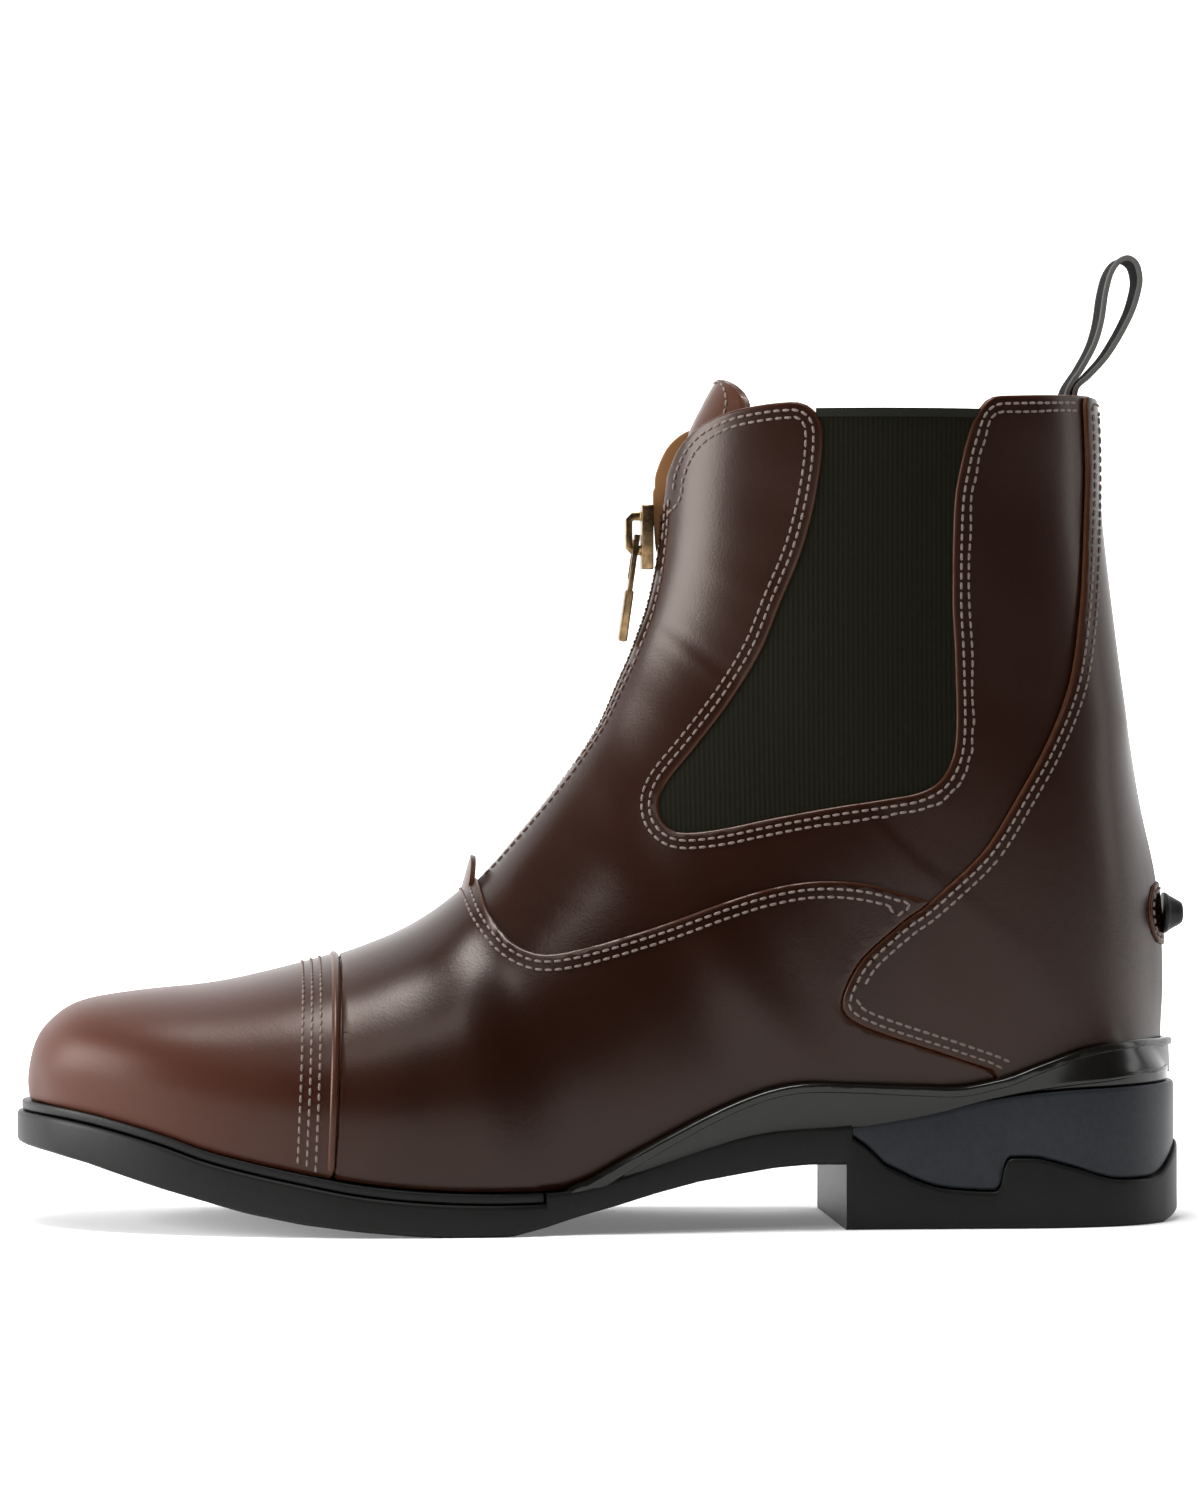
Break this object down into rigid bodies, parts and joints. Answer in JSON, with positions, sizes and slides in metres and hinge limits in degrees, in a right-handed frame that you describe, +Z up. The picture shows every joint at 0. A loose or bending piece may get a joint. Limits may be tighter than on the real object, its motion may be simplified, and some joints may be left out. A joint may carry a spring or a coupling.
{
  "type": "paddock boot",
  "caption": "Brown leather paddock boot, left foot, with toe cap, elastic gores, front zip, pull loop, rubber sole with a stacked heel and a spur rest.",
  "frame": {"origin": "middle of the sole's length and width, on the floor under heel and forefoot", "axes": "+X from toe to heel, +Y to the inner side of the foot, +Z up; the outer side faces -Y"},
  "size_m": [0.2999, 0.104, 0.2477],
  "materials": {
    "sole_rubber": "matte",
    "insert_rubber": "matte",
    "cup_plastic": "gloss",
    "brown_leather": "satin",
    "tan_lining": "matte",
    "gore_elastic": "ribbed",
    "loop_webbing": "woven",
    "dark_brass": "antique"
  },
  "bodies": {
    "boot": {"outsole": "sole_rubber", "midsole": "sole_rubber", "heel_insert": "insert_rubber", "insole": "tan_lining", "shank_cup": "cup_plastic", "upper": "brown_leather", "toe_cap": "brown_leather", "vamp": "brown_leather", "counter": "brown_leather", "gore_lateral": "gore_elastic", "gore_medial": "gore_elastic", "zip_chain": "dark_brass", "tongue": "brown_leather", "pull_loop": "loop_webbing", "spur_rest": "sole_rubber", "zip_slider": "dark_brass"},
    "zip_pull": {"zip_pull": "dark_brass"}
  },
  "joints": [
    {"name": "pull_swing", "type": "hinge", "parent": "boot", "child": "zip_pull", "pos_m": [0.00938, 0, 0.17504], "axis": [0, 1, 0], "range_deg": [0, 150]}
  ]
}
